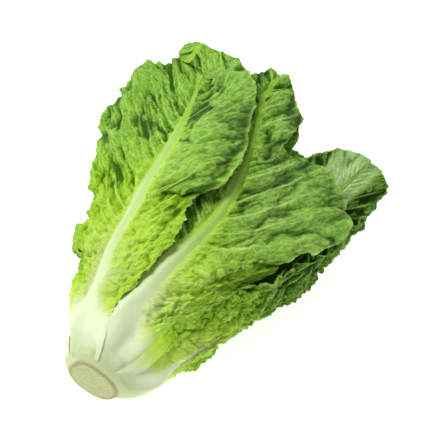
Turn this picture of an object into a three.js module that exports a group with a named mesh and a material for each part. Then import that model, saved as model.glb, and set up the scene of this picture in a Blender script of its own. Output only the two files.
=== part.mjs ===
// A head of romaine lettuce, cut from its root and lying on its side.
//
// The head is a rosette: a short solid stem with twenty leaves set round it on the golden
// angle. Leaf_01 is the outermost and leaf_20 the heart. The long axis runs along +Y, from
// the cut stem to the leaf tips, +Z is up, and the origin is on the resting surface under
// the middle of the head. All sizes are in millimetres, and angles in degrees.
//
// Each leaf is a curved sheet with a thick rib down its outer side. It is first laid out
// round the axis, in station s along the axis, angle phi about it and radius rho from it,
// where each leaf clears the ones inside it. Then the whole rosette is spread sideways and
// flattened, as it is when it lies under its own weight.
import * as THREE from "three";

const { clamp, degToRad, euclideanModulo, radToDeg, smoothstep } = THREE.MathUtils;

const LEAF_COUNT = 20;
const GOLDEN_ANGLE = 137.5;
const FIRST_TURN = 118; // angle of the outermost leaf's rib, from +X towards +Z
const HEAD_LENGTH = 262;

// Profiles along the axis, as [station, value] points.
const STEM_RADIUS = [[0, 17], [3, 17.4], [8, 16.2], [20, 12.5], [40, 7], [54, 3.2], [60, 2.2]];
const STEM_LENGTH = 60;
const HEAD_RADIUS = [
  [0, 18], [5, 19.5], [12, 22.5], [25, 27.5], [50, 35], [80, 43], [120, 53], [160, 62], [200, 67], [262, 69],
];
const AXIS_HEIGHT = [[0, 28], [60, 32], [150, 37], [262, 39]];
const SIDE_SPREAD = [[0, 1], [40, 1.18], [80, 1.3], [150, 1.4], [262, 1.4]];
const FLATTENING = [[0, 1], [40, 0.94], [100, 0.84], [180, 0.75], [262, 0.74]];
const UNDERSIDE_PRESS = 56; // the underside levels off towards this depth below the axis

const STEM_GAP = 0.5;
const BLEND = 1.5; // how softly a leaf passes from its own shell onto the leaves inside it
const LEAF_GAP = [[0, 1.2], [25, 1.6], [50, 1.1]]; // free space between one leaf and the next

// Leaf sheet and rib, as [distance from the leaf's foot, value] points.
const BLADE_THICK = 1.05;
const MARGIN_THICK = 0.8;
const RIB_HEIGHT = [
  [0, 0.5], [6, 3], [16, 5.5], [40, 5.6], [90, 3.8], [150, 2.3], [220, 1.1], [262, 0.3],
];
const RIB_HALF_WIDTH = [[0, 13], [20, 12.5], [60, 9.5], [120, 6], [180, 3.8], [262, 2]];
const VEIN_SLANT = 0.75; // how far a side vein climbs for each millimetre outwards
const VEIN_BEND = 10; // the side veins leave the rib squarely and bend within this distance
const VEIN_RAMP = 40;
const CURL_TURN = 2.9; // radians a curled tip folds back

// Spacing of the rows of a leaf's grid.
const FIRST_ROW = 3.5;
const ROW_CROWDING = 0.055;
const CURL_ROW = 3.4;

// Half width of a plain leaf against its length, both as shares.
const PLAIN_OUTLINE = [
  [0, 0.28], [0.1, 0.29], [0.25, 0.45], [0.45, 0.82], [0.64, 1], [0.8, 0.95], [0.92, 0.66], [1, 0.1],
];

// A smooth curve through [x, y] points, level beyond its ends.
function curveAt(points, x) {
  const last = points.length - 1;
  if (x <= points[0][0]) return points[0][1];
  if (x >= points[last][0]) return points[last][1];
  let i = 0;
  while (x > points[i + 1][0]) i++;
  const slope = (k) => {
    const a = points[Math.max(k - 1, 0)];
    const b = points[Math.min(k + 1, last)];
    return (b[1] - a[1]) / (b[0] - a[0]);
  };
  const [x0, y0] = points[i];
  const [x1, y1] = points[i + 1];
  const t = (x - x0) / (x1 - x0);
  const bend = (1 - t) * slope(i) - t * slope(i + 1);
  return y0 + (y1 - y0) * t * t * (3 - 2 * t) + (x1 - x0) * t * (1 - t) * bend;
}

// The leaves that show have their own outlines, as half widths [distance along the rib, mm].
// left is towards a growing angle. folds are [along, across, size along, size across, height].
const OWN_SHAPES = {
  1: {
    left: [[0, 14], [30, 16], [55, 26], [80, 42], [92, 43], [106, 37], [118, 50], [140, 59], [170, 62],
      [200, 61], [220, 53], [234, 31], [244, 16], [256, 14], [272, 13], [286, 5]],
    right: [[0, 14], [20, 17], [44, 20], [62, 22], [84, 26], [104, 28], [122, 24], [136, 33], [166, 38],
      [190, 37], [218, 33], [238, 25], [254, 17], [272, 14], [286, 5]],
    length: 286,
    rows: 20,
    bladeSteps: 4,
    drift: [[0, 3], [40, 4], [120, 5], [190, 4], [262, 6]],
    folds: [[150, -26, 45, 15, 7], [185, 50, 60, 22, 8]],
    curl: { from: 257, radius: 4.5 },
    frill: 2.5,
  },
  2: {
    left: [[0, 14], [25, 15], [60, 26], [100, 33], [140, 33], [175, 30], [200, 16], [212, 5]],
    right: [[0, 14], [30, 15], [60, 28], [100, 38], [140, 43], [175, 37], [200, 20], [212, 5]],
    length: 212,
    turn: 8,
    drift: [[0, 2], [60, -6], [150, -27], [212, -30]],
    flare: [[0, 0], [12, 4], [30, 7], [60, 5], [100, 4], [140, 5], [170, 4], [212, 2]],
    frill: 4,
  },
  3: { length: 232, turn: 204, wide: 52, frill: 3 },
  4: {
    left: [[0, 14], [30, 16], [70, 34], [120, 48], [160, 50], [200, 40], [225, 26], [245, 14], [262, 6]],
    right: [[0, 14], [30, 15], [50, 24], [76, 38], [100, 47], [112, 50], [120, 52], [132, 57], [150, 61],
      [168, 59], [182, 50], [192, 41], [198, 20], [210, 20], [226, 25], [238, 18], [250, 13], [262, 6]],
    length: 262,
    rows: 23,
    bladeSteps: 4,
    turn: 76,
    drift: [[0, 0], [150, 0], [240, 17]],
    folds: [[165, -60, 40, 22, 13], [215, -14, 20, 8, 4]],
    frill: 3,
  },
  5: { length: 226, turn: 288, wide: 50, frill: 2, flare: [[0, 0], [12, 3], [40, 4], [100, 0]] },
  6: { length: 196, turn: 153, wide: 46, frill: 2.5, flare: [[0, 0], [40, 2], [90, 3], [196, 1]] },
  7: {
    left: [[0, 14], [30, 14], [70, 30], [120, 42], [170, 44], [205, 34], [228, 22], [246, 5]],
    right: [[0, 14], [30, 14], [70, 30], [120, 42], [170, 46], [205, 46], [228, 36], [246, 8]],
    length: 246,
    turn: 42,
    drift: [[0, 0], [70, 0], [200, -18], [246, -20]],
    flare: [[0, 0], [140, 0], [200, 5], [246, 11]],
    folds: [[205, -44, 50, 22, 10]],
    frill: 2.5,
  },
  8: { length: 238, turn: 236, wide: 48, frill: 2 },
  12: { length: 210, turn: 46, wide: 40, frill: 2 },
};

function plainShape(rank) {
  const inward = (rank - 1) / (LEAF_COUNT - 1);
  return {
    length: rank < 13 ? 242 : 242 - (rank - 12) * 11,
    turn: FIRST_TURN - GOLDEN_ANGLE * (rank - 1),
    wide: 50 - 12 * inward,
    frill: 1.6,
    rows: rank < 9 ? 21 : 12,
    bladeSteps: rank < 9 ? 3 : 2,
  };
}

// Everything about one leaf, rank 1 being the outermost.
function leafShape(rank) {
  const shape = { drift: [[0, 0]], flare: [[0, 0]], folds: [], ...plainShape(rank), ...OWN_SHAPES[rank] };
  const outline = PLAIN_OUTLINE.map(([at, share]) => [at * shape.length, share * shape.wide]);
  shape.left ??= outline;
  shape.right ??= outline;
  shape.rank = rank;
  shape.foot = rank < 7 ? 2 : 2 + (rank - 6) * 2.7; // inner leaves grow from higher up the stem
  shape.share = ((LEAF_COUNT + 1 - rank) / LEAF_COUNT) ** 0.9;
  shape.stretch = shape.length / (HEAD_LENGTH - 6);
  shape.ribScale = rank < 9 ? 1 : 1 - 0.045 * (rank - 8);
  return shape;
}

// Where a point q along the rib and b across from it lies along the axis, and back again.
const veinClimb = (b) => VEIN_SLANT * (Math.hypot(b, VEIN_BEND) - VEIN_BEND);
const alongFrom = (q, b) => q + (veinClimb(b) * q) / (q + VEIN_RAMP);
function ribPointOf(a, b) {
  const rest = a - VEIN_RAMP - veinClimb(b);
  return (rest + Math.sqrt(rest * rest + 4 * VEIN_RAMP * Math.max(a, 0))) / 2;
}

const ribAngle = (leaf, s) => leaf.turn + curveAt(leaf.drift, s - leaf.foot);
const widthRadius = (s) => 0.94 * curveAt(HEAD_RADIUS, s) + 1;
const halfWidth = (leaf, q, b) => curveAt(b < 0 ? leaf.right : leaf.left, q);
const ribHalfWidth = (leaf, q) => curveAt(RIB_HALF_WIDTH, q) * (0.4 + 0.6 * leaf.ribScale);

// Perpendicular thickness of the leaf, its rib included.
function thickness(leaf, q, b) {
  const edge = clamp(Math.abs(b) / halfWidth(leaf, q, b), 0, 1);
  const sheet = BLADE_THICK + (MARGIN_THICK - BLADE_THICK) * edge;
  const ribShare = Math.abs(b) / ribHalfWidth(leaf, q);
  if (ribShare >= 1) return sheet;
  const crown = (1 - ribShare * ribShare) ** 1.5;
  return sheet + curveAt(RIB_HEIGHT, q / leaf.stretch) * leaf.ribScale * crown;
}

// How far the sheet stands out from its even shell: folds, and a wave that grows to the margin.
function relief(leaf, q, b) {
  let out = 0;
  for (const [along, across, sizeAlong, sizeAcross, height] of leaf.folds) {
    out += height * Math.exp(-(((q - along) / sizeAlong) ** 2) - ((b - across) / sizeAcross) ** 2);
  }
  const edge = clamp(Math.abs(b) / halfWidth(leaf, q, b), 0, 1);
  const wave = 0.5 + 0.5 * Math.sin(q / 6.5 + leaf.rank * 2 + (b < 0 ? 1.7 : 0));
  return out + leaf.frill * edge ** 3 * wave * smoothstep(q, 15, 60);
}

// Puts a laid-out point where it is in the lying head.
function place(s, phi, rho) {
  const x = rho * Math.cos(degToRad(phi)) * curveAt(SIDE_SPREAD, s);
  let z = rho * Math.sin(degToRad(phi)) * curveAt(FLATTENING, s);
  if (z < 0) z = UNDERSIDE_PRESS * Math.tanh(z / UNDERSIDE_PRESS);
  return new THREE.Vector3(x, s - HEAD_LENGTH / 2, curveAt(AXIS_HEIGHT, s) + z);
}

// How much place() stretches a small step outwards.
function outwardStretch(s, phi, rho) {
  return place(s, phi, rho + 0.5).distanceTo(place(s, phi, rho - 0.5));
}

// How far a leaf covers the point a along and b across from its foot: 1 on it, 0 well beyond it.
function coverOf(leaf, a, q, b) {
  const beside = 1 - smoothstep(Math.abs(b) - halfWidth(leaf, q, b), 4, 18);
  const beyond = smoothstep(a, -6, -1) * (1 - smoothstep(q, leaf.length + 4, leaf.length + 18));
  return beside * beyond;
}

// Radius of a leaf's inner face before its own relief, clear of every leaf inside it.
function layerRadius(rank, s, phi) {
  let free = curveAt(STEM_RADIUS, s) + STEM_GAP;
  for (let inner = LEAF_COUNT; inner > rank; inner--) {
    const leaf = leaves[inner];
    const a = s - leaf.foot;
    const b = degToRad(euclideanModulo(phi - ribAngle(leaf, s) + 180, 360) - 180) * widthRadius(s);
    const q = ribPointOf(a, b);
    const cover = coverOf(leaf, a, q, b);
    if (cover <= 0) continue;
    const inside = lifted(leaf, s, free);
    const needed = thickness(leaf, q, b) + curveAt(LEAF_GAP, s);
    const top = inside + relief(leaf, q, b) + needed / outwardStretch(s, phi, inside);
    free += cover * Math.max(top - free, 0);
  }
  return lifted(leaves[rank], s, free);
}

// The leaf's own radius at a station, or the free radius if that is more, blended smoothly.
function lifted(leaf, s, free) {
  const stem = curveAt(STEM_RADIUS, s);
  const opened = leaf.share * smoothstep(s - leaf.foot, -10, 20);
  const shell = stem + STEM_GAP + (curveAt(HEAD_RADIUS, s) - stem) * opened;
  const own = shell + curveAt(leaf.flare, s - leaf.foot);
  const apart = own - free;
  return (own + free + Math.sqrt(apart * apart + BLEND)) / 2;
}

// Stations along the rib where the grid has a row, closer at the foot, the tip and a curl.
function rowsOf(leaf) {
  const end = leaf.curl ? leaf.curl.from - 10 : leaf.length;
  const rows = [0, FIRST_ROW];
  for (let i = 1; i <= leaf.rows; i++) {
    const t = i / leaf.rows;
    rows.push(end * (t - ROW_CROWDING * Math.sin(2 * Math.PI * t)));
  }
  if (leaf.curl) {
    const uncurled = leaf.curl.from + CURL_TURN * leaf.curl.radius;
    for (let q = end + CURL_ROW; q < uncurled; q += CURL_ROW) rows.push(q);
    rows.push(leaf.length);
  }
  return rows;
}

// Places across the leaf: the rib's crown, sides and edges, then the blade out to the margin.
function columnsOf(leaf, q, bladeSteps) {
  const narrower = Math.min(halfWidth(leaf, q, 1), halfWidth(leaf, q, -1));
  const ribHalf = Math.min(ribHalfWidth(leaf, q), 0.75 * narrower);
  const side = (sign) => {
    const edge = halfWidth(leaf, q, sign);
    const out = [ribHalf / 2, ribHalf];
    for (let i = 1; i <= bladeSteps; i++) out.push(ribHalf + ((edge - ribHalf) * i) / bladeSteps);
    return out.map((b) => b * sign);
  };
  return [...side(-1).reverse(), 0, ...side(1)];
}

// A point of the leaf's inner or outer face.
function leafPoint(leaf, q, b, outer) {
  let s = leaf.foot + alongFrom(q, b);
  const phi = ribAngle(leaf, s) + radToDeg(b / widthRadius(s));
  let rho = layerRadius(leaf.rank, s, phi) + relief(leaf, q, b);
  const step = outer ? thickness(leaf, q, b) / outwardStretch(s, phi, rho) : 0;
  if (leaf.curl && s > leaf.curl.from) {
    const turn = Math.min((s - leaf.curl.from) / leaf.curl.radius, CURL_TURN);
    const past = s - leaf.curl.from - turn * leaf.curl.radius;
    const arm = leaf.curl.radius - step;
    s = leaf.curl.from + arm * Math.sin(turn) + past * Math.cos(turn);
    rho += leaf.curl.radius - arm * Math.cos(turn) + past * Math.sin(turn);
  } else {
    rho += step;
  }
  const point = place(s, phi, rho);
  point.z = Math.max(point.z, outer ? 0 : MARGIN_THICK);
  return point;
}

// A closed sheet between an inner and an outer grid of points, cut alike on both faces.
function sheetGeometry(inner, outer) {
  const rows = inner.length;
  const across = inner[0].length;
  const position = [...inner.flat(), ...outer.flat()].flatMap((p) => [p.x, p.y, p.z]);
  const insideAt = (i, j) => i * across + j;
  const outsideAt = (i, j) => (rows + i) * across + j;
  const index = [];
  const wall = (a, b, c, d) => index.push(a, c, b, a, d, c);
  for (let i = 0; i + 1 < rows; i++) {
    for (let j = 0; j + 1 < across; j++) {
      const near = insideAt(i, j);
      const far = insideAt(i + 1, j + 1);
      index.push(near, far, insideAt(i + 1, j), near, insideAt(i, j + 1), far);
      const nearOut = outsideAt(i, j);
      const farOut = outsideAt(i + 1, j + 1);
      index.push(nearOut, outsideAt(i + 1, j), farOut, nearOut, farOut, outsideAt(i, j + 1));
    }
    wall(insideAt(i, 0), outsideAt(i, 0), outsideAt(i + 1, 0), insideAt(i + 1, 0));
    const edge = across - 1;
    wall(insideAt(i, edge), insideAt(i + 1, edge), outsideAt(i + 1, edge), outsideAt(i, edge));
  }
  for (let j = 0; j + 1 < across; j++) {
    wall(insideAt(0, j), insideAt(0, j + 1), outsideAt(0, j + 1), outsideAt(0, j));
    const tip = rows - 1;
    wall(insideAt(tip, j), outsideAt(tip, j), outsideAt(tip, j + 1), insideAt(tip, j + 1));
  }
  const geometry = new THREE.BufferGeometry();
  geometry.setAttribute("position", new THREE.Float32BufferAttribute(position, 3));
  geometry.setIndex(index);
  geometry.computeVertexNormals();
  return geometry;
}

function leafMesh(leaf) {
  const rows = rowsOf(leaf);
  const grid = (outer) =>
    rows.map((q) => columnsOf(leaf, q, leaf.bladeSteps).map((b) => leafPoint(leaf, q, b, outer)));
  const colour = new THREE.Color().setHSL(0.23 + 0.03 * leaf.share, 0.5, 0.55 - 0.16 * leaf.share);
  const material = new THREE.MeshStandardMaterial({ color: colour, roughness: 0.5, metalness: 0 });
  const mesh = new THREE.Mesh(sheetGeometry(grid(false), grid(true)), material);
  mesh.name = "leaf_" + String(leaf.rank).padStart(2, "0");
  return mesh;
}

// The solid stem: a turned body from the flat cut face to the growing tip inside the heart.
function stemMesh() {
  const outline = [new THREE.Vector2(0, 0)];
  for (let s = 0; s <= STEM_LENGTH; s += 4) outline.push(new THREE.Vector2(curveAt(STEM_RADIUS, s), s));
  outline.push(new THREE.Vector2(0, STEM_LENGTH + 2));
  const geometry = new THREE.LatheGeometry(outline, 28);
  const position = geometry.getAttribute("position");
  for (let i = 0; i < position.count; i++) {
    const phi = radToDeg(Math.atan2(position.getZ(i), position.getX(i)));
    const rho = Math.hypot(position.getX(i), position.getZ(i));
    const p = place(position.getY(i), phi, rho);
    position.setXYZ(i, p.x, p.y, p.z);
  }
  geometry.computeVertexNormals();
  const material = new THREE.MeshStandardMaterial({ color: 0xbcc294, roughness: 0.7, metalness: 0 });
  const mesh = new THREE.Mesh(geometry, material);
  mesh.name = "stem";
  return mesh;
}

const leaves = {};
for (let rank = 1; rank <= LEAF_COUNT; rank++) leaves[rank] = leafShape(rank);

const head = new THREE.Group();
head.name = "romaine_head";
head.add(stemMesh());
for (let rank = 1; rank <= LEAF_COUNT; rank++) head.add(leafMesh(leaves[rank]));

// The origin goes under the middle of the head, on the surface it rests on.
const bounds = new THREE.Box3().setFromObject(head);
const middle = bounds.getCenter(new THREE.Vector3());
for (const mesh of head.children) mesh.geometry.translate(-middle.x, -middle.y, -bounds.min.z);

export default head;
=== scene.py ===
import math

import bpy
import numpy as np
from mathutils import Matrix, Vector


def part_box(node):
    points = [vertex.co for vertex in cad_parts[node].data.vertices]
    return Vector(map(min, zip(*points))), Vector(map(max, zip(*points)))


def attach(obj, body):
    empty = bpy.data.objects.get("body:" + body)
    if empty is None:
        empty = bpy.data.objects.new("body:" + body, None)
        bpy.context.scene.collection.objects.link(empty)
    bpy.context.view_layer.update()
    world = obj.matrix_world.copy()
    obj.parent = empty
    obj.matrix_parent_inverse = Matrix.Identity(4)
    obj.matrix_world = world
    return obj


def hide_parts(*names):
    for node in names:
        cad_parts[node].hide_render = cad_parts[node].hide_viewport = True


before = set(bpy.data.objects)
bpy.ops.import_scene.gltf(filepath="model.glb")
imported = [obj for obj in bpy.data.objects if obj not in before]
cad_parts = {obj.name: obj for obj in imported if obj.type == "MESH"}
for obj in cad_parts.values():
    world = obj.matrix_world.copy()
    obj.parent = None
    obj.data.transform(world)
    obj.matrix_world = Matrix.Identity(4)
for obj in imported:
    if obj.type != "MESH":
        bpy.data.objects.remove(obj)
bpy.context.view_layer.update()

# A head of romaine lettuce lying on its side, tips along +Y.
# The CAD leaves give the places and the big shapes. Each one is rebuilt here from the same
# rule as a fine sheet, then veined and puckered by Geometry Nodes. Lengths in the dictionaries
# are millimetres, angles are degrees.

millimetre = 0.001
stemLow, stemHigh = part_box("stem")
headOrigin = Vector(((stemLow[0] + stemHigh[0]) / 2, stemLow[1], 0.0))  # under the cut stem's centre


# Nodes are written as sums of wires.
class Wire:
    # an output socket that Python's operators work on
    def __init__(self, bench, socket):
        self.bench = bench
        self.socket = socket

    def math(self, operation, *others):
        values = dict(enumerate((self, *others)))
        return self.bench.node("ShaderNodeMath", {"operation": operation}, values)

    def swapped(self, operation, other):
        return self.bench.node("ShaderNodeMath", {"operation": operation}, {0: other, 1: self})

    def __add__(self, other): return self.math("ADD", other)
    def __radd__(self, other): return self.math("ADD", other)
    def __sub__(self, other): return self.math("SUBTRACT", other)
    def __rsub__(self, other): return self.swapped("SUBTRACT", other)
    def __mul__(self, other): return self.math("MULTIPLY", other)
    def __rmul__(self, other): return self.math("MULTIPLY", other)
    def __truediv__(self, other): return self.math("DIVIDE", other)
    def __rtruediv__(self, other): return self.swapped("DIVIDE", other)

    def between(self, low, high):
        # 0 below low, 1 above high, smooth in between
        values = {"Value": self, "From Min": low, "From Max": high}
        return self.bench.node("ShaderNodeMapRange", {"interpolation_type": "SMOOTHSTEP"}, values)


class Bench:
    # makes the nodes of one tree
    def __init__(self, tree):
        self.tree = tree

    def node(self, kind, settings=None, inputs=None, out=0):
        made = self.tree.nodes.new(kind)
        made.location = (200 * len(self.tree.nodes), 0)
        for name, value in (settings or {}).items():
            if name == "stops":
                ramp = made.color_ramp.elements
                while len(ramp) < len(value):
                    ramp.new(1.0)
                for element, (at, colour) in zip(ramp, value):
                    element.position = at
                    element.color = colour
            else:
                setattr(made, name, value)
        for key, value in (inputs or {}).items():
            if isinstance(value, Wire):
                self.tree.links.new(value.socket, made.inputs[key])
            else:
                made.inputs[key].default_value = value
        return made if out is None else Wire(self, made.outputs[out])

    def mixed(self, share, first, second, blend="MIX"):
        settings = {"data_type": "RGBA", "blend_type": blend}
        return self.node("ShaderNodeMix", settings, {0: share, 6: first, 7: second}, out=2)

    def noise(self, place, size, detail=1.0, seed=0.0):
        inputs = {"Vector": place, "W": seed, "Scale": 1.0 / size, "Detail": detail}
        return self.node("ShaderNodeTexNoise", {"noise_dimensions": "4D"}, inputs)

    def billows(self, place, size, seed=0.0):
        # puffed patches, 1 at their tops, with sharp creases of 0 between them
        rise = ((self.noise(place, size, 1.0, seed) - 0.5).math("ABSOLUTE") * 6.0).math("MINIMUM", 1.0)
        return rise * (2.0 - rise)


def fromScreen(red, green, blue):
    # a colour as seen on screen, turned into the linear values that the nodes take
    linear = [((c / 255 + 0.055) / 1.055) ** 2.4 if c > 10 else c / 3295 for c in (red, green, blue)]
    return (*linear, 1.0)


def newMaterial(name):
    material = bpy.data.materials.new(name)
    material.use_nodes = True
    material.node_tree.nodes.clear()
    return material, Bench(material.node_tree)


def newObject(name, data):
    made = bpy.data.objects.new(name, data)
    bpy.context.scene.collection.objects.link(made)
    return made


# How the leaves are laid out.
head = {
    "leaves": 20,
    "goldenAngle": 137.5,
    "firstTurn": 118,
    "length": 262,
    "stemRadius": [[0, 17], [3, 17.4], [8, 16.2], [20, 12.5], [40, 7], [54, 3.2], [60, 2.2]],
    "stemLength": 60,
    "radius": [[0, 18], [5, 19.5], [12, 22.5], [25, 27.5], [50, 35], [80, 43], [120, 53],
               [160, 62], [200, 67], [262, 69]],
    "axisHeight": [[0, 28], [60, 32], [150, 37], [262, 39]],
    "sideSpread": [[0, 1], [40, 1.18], [80, 1.3], [150, 1.4], [262, 1.4]],
    "flattening": [[0, 1], [40, 0.94], [100, 0.84], [180, 0.75], [262, 0.74]],
    "undersidePress": 56,
    "stemGap": 0.5,
    "blend": 1.5,
    "leafGap": [[0, 1.2], [25, 1.6], [50, 1.1]],
    "wrap": (0.94, 1),  # widths are laid round this share of the radius, and so much more
    "opening": (-10, 20),  # where a leaf leaves the stem, from its foot
    "coverStart": (-6, -1),
    "coverEnd": (4, 18),  # how a leaf's cover fades past its tip
    "coverBeside": (4, 18),
    "looseBeyond": 6,
}

# A leaf without measures of its own. Every inner leaf starts higher and has a slimmer rib.
plainLeaf = {
    "length": 242,
    "shorterAfter": 12,
    "shorterBy": 11,
    "wide": (50, 38),  # half width of the outermost and of the innermost
    "frill": 1.6,
    "foot": 2,
    "higherAfter": 6,
    "higherBy": 2.7,
    "slimmerAfter": 8,
    "slimmerBy": 0.045,
    "openingPower": 0.9,
    "lengthBelowHead": 6,
}

sheet = {
    "bladeThick": 1.05,
    "marginThick": 0.8,
    "ribHeight": [[0, 0.5], [6, 3], [16, 5.5], [40, 5.6], [90, 3.8], [150, 2.3], [220, 1.1], [262, 0.3]],
    "ribHalfWidth": [[0, 13], [20, 12.5], [60, 9.5], [120, 6], [180, 3.8], [262, 2]],
    "veinSlant": 0.75,
    "veinBend": 10,
    "veinRamp": 40,
    "curlTurn": 3.2,
    "curlTight": 0.5,  # how much tighter the tip turns back on its right
    "curlTightTo": (-10, 8),
    "curlCalm": 0.85,  # few puckers where the tip turns back, so that it doesn't cut itself
    "curlCalmFrom": (-22, -8),
    "waveLength": 6.5,
    "waveFrom": (15, 60),
    "plainOutline": [[0, 0.28], [0.1, 0.29], [0.25, 0.45], [0.45, 0.82], [0.64, 1], [0.8, 0.95],
                     [0.92, 0.66], [1, 0.1]],
}

# The leaves that show have their own outlines: half widths at distances along the rib.
# left is towards a growing angle. A fold is along, across, size along, size across, height.
ownShapes = {
    1: {
        "left": [[0, 6], [12, 7], [22, 16], [30, 22], [40, 26], [58, 33], [76, 37], [92, 38], [106, 35],
                 [118, 50], [140, 57], [170, 58], [188, 50], [200, 41], [212, 38], [222, 33],
                 [232, 23], [242, 17], [256, 15], [272, 15], [286, 6]],
        "right": [[0, 12], [15, 13], [30, 12.5], [45, 13.5], [60, 20], [75, 25], [95, 31], [110, 30],
                  [122, 31], [131, 37], [142, 42], [160, 43], [180, 40], [190, 38], [218, 33],
                  [236, 25], [246, 18], [254, 15], [262, 16], [276, 14], [286, 8]],
        "length": 286,
        "drift": [[0, 3], [40, 4], [120, 5], [190, 4], [262, 6]],
        "folds": [[150, -26, 45, 15, 7], [185, 50, 60, 22, 8]],
        "curl": {"from": 257, "radius": 4.5},
        "frill": 2.5,
    },
    2: {
        "left": [[0, 14], [12, 16], [25, 21], [45, 27], [60, 30], [100, 34], [140, 36], [175, 36],
                 [200, 30], [214, 12]],
        "right": [[0, 12], [30, 11], [60, 16], [100, 28], [140, 38], [175, 36], [200, 20], [214, 5]],
        "length": 214,
        "turn": 8,
        "drift": [[0, 2], [60, -6], [150, -27], [212, -30]],
        "flare": [[0, 3], [5, 8.5], [12, 11], [20, 10], [30, 7], [45, 5], [60, 4], [100, 3], [140, 5],
                  [170, 4], [212, 2]],
        "unflared": (-2, 12),
        "frill": 4,
    },
    3: {"length": 232, "turn": 204, "wide": 52, "frill": 3},
    4: {
        "left": [[0, 14], [30, 16], [70, 34], [120, 48], [160, 50], [200, 40], [225, 26], [245, 14],
                 [262, 6]],
        "right": [[0, 14], [20, 16], [35, 21], [50, 29], [76, 40], [100, 47], [114, 50], [124, 48],
                  [130, 50], [140, 60], [154, 64], [168, 60], [182, 50], [192, 41], [198, 20],
                  [210, 20], [226, 25], [238, 18], [250, 13], [262, 6]],
        "length": 262,
        "turn": 76,
        "drift": [[0, 0], [150, 0], [240, 17]],
        "folds": [[165, -60, 40, 22, 13], [215, -14, 20, 8, 4]],
        "frill": 3,
    },
    5: {"length": 226, "turn": 288, "wide": 50, "frill": 2,
        "flare": [[0, 0], [12, 3], [40, 4], [100, 0]]},
    6: {"length": 196, "turn": 153, "wide": 46, "frill": 2.5,
        "flare": [[0, 0], [40, 2], [90, 3], [196, 1]]},
    7: {
        "left": [[0, 14], [30, 14], [70, 30], [120, 42], [170, 44], [205, 34], [228, 22], [246, 5]],
        "right": [[0, 14], [30, 14], [70, 30], [120, 42], [170, 46], [205, 46], [228, 36], [246, 8]],
        "length": 246,
        "turn": 42,
        "drift": [[0, 0], [70, 0], [200, -18], [246, -20]],
        "flare": [[0, 0], [140, 0], [200, 5], [246, 11]],
        "folds": [[205, -44, 50, 22, 10]],
        "frill": 2.5,
    },
    8: {"length": 238, "turn": 236, "wide": 48, "frill": 2},
    12: {"length": 210, "turn": 46, "wide": 40, "frill": 2},
}


def curveAt(points, x):
    # a smooth curve through the points, level beyond its ends
    xs, ys = np.array(points, float).T
    x = np.asarray(x, float)
    if len(xs) == 1:
        return np.full(x.shape, ys[0])
    rise = np.empty(len(xs))
    rise[1:-1] = (ys[2:] - ys[:-2]) / (xs[2:] - xs[:-2])
    rise[0] = (ys[1] - ys[0]) / (xs[1] - xs[0])
    rise[-1] = (ys[-1] - ys[-2]) / (xs[-1] - xs[-2])
    held = np.clip(x, xs[0], xs[-1])
    i = np.clip(np.searchsorted(xs, held, "right") - 1, 0, len(xs) - 2)
    step = xs[i + 1] - xs[i]
    t = (held - xs[i]) / step
    bend = (1 - t) * rise[i] - t * rise[i + 1]
    return ys[i] + (ys[i + 1] - ys[i]) * t * t * (3 - 2 * t) + step * t * (1 - t) * bend


def smoothStep(x, low, high):
    t = np.clip((x - low) / (high - low), 0, 1)
    return t * t * (3 - 2 * t)


def leafShape(rank):
    inward = (rank - 1) / (head["leaves"] - 1)
    widest, narrowest = plainLeaf["wide"]
    shorter = max(rank - plainLeaf["shorterAfter"], 0) * plainLeaf["shorterBy"]
    shape = {
        "length": plainLeaf["length"] - shorter,
        "turn": head["firstTurn"] - head["goldenAngle"] * (rank - 1),
        "wide": widest + (narrowest - widest) * inward,
        "frill": plainLeaf["frill"],
        "drift": [[0, 0]],
        "flare": [[0, 0]],
        "folds": [],
        "curl": None,
    }
    shape.update(ownShapes.get(rank, {}))
    outline = [[at * shape["length"], share * shape["wide"]] for at, share in sheet["plainOutline"]]
    shape.setdefault("left", outline)
    shape.setdefault("right", outline)
    shape["rank"] = rank
    shape["foot"] = plainLeaf["foot"] + max(rank - plainLeaf["higherAfter"], 0) * plainLeaf["higherBy"]
    shape["share"] = ((head["leaves"] + 1 - rank) / head["leaves"]) ** plainLeaf["openingPower"]
    shape["stretch"] = shape["length"] / (head["length"] - plainLeaf["lengthBelowHead"])
    shape["ribScale"] = 1 - plainLeaf["slimmerBy"] * max(rank - plainLeaf["slimmerAfter"], 0)
    return shape


leaves = {rank: leafShape(rank) for rank in range(1, head["leaves"] + 1)}


def veinClimb(b):
    return sheet["veinSlant"] * (np.hypot(b, sheet["veinBend"]) - sheet["veinBend"])


def alongFrom(q, b):
    return q + veinClimb(b) * q / (q + sheet["veinRamp"])


def ribPointOf(a, b):
    rest = a - sheet["veinRamp"] - veinClimb(b)
    return (rest + np.sqrt(rest * rest + 4 * sheet["veinRamp"] * np.maximum(a, 0))) / 2


def ribAngle(leaf, s):
    return leaf["turn"] + curveAt(leaf["drift"], s - leaf["foot"])


def widthRadius(s):
    share, more = head["wrap"]
    return share * curveAt(head["radius"], s) + more


def halfWidth(leaf, q, b):
    return np.where(b < 0, curveAt(leaf["right"], q), curveAt(leaf["left"], q))


def edgePlace(leaf, q, b):
    # 0 on the middle line, 1 on the margin
    return np.clip(np.abs(b) / halfWidth(leaf, q, b), 0, 1)


def ribSlimness(leaf):
    return 0.4 + 0.6 * leaf["ribScale"]


def ribHalfWidth(leaf, q):
    return curveAt(sheet["ribHalfWidth"], q) * ribSlimness(leaf)


def ribCrown(leaf, q, b):
    share = np.clip(np.abs(b) / ribHalfWidth(leaf, q), 0, 1)
    return (1 - share * share) ** 1.5


def bladeThickness(leaf, q, b):
    return sheet["bladeThick"] + (sheet["marginThick"] - sheet["bladeThick"]) * edgePlace(leaf, q, b)


def ribHeight(leaf, q):
    return curveAt(sheet["ribHeight"], q / leaf["stretch"]) * leaf["ribScale"]


def thickness(leaf, q, b):
    return bladeThickness(leaf, q, b) + ribHeight(leaf, q) * ribCrown(leaf, q, b)


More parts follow.
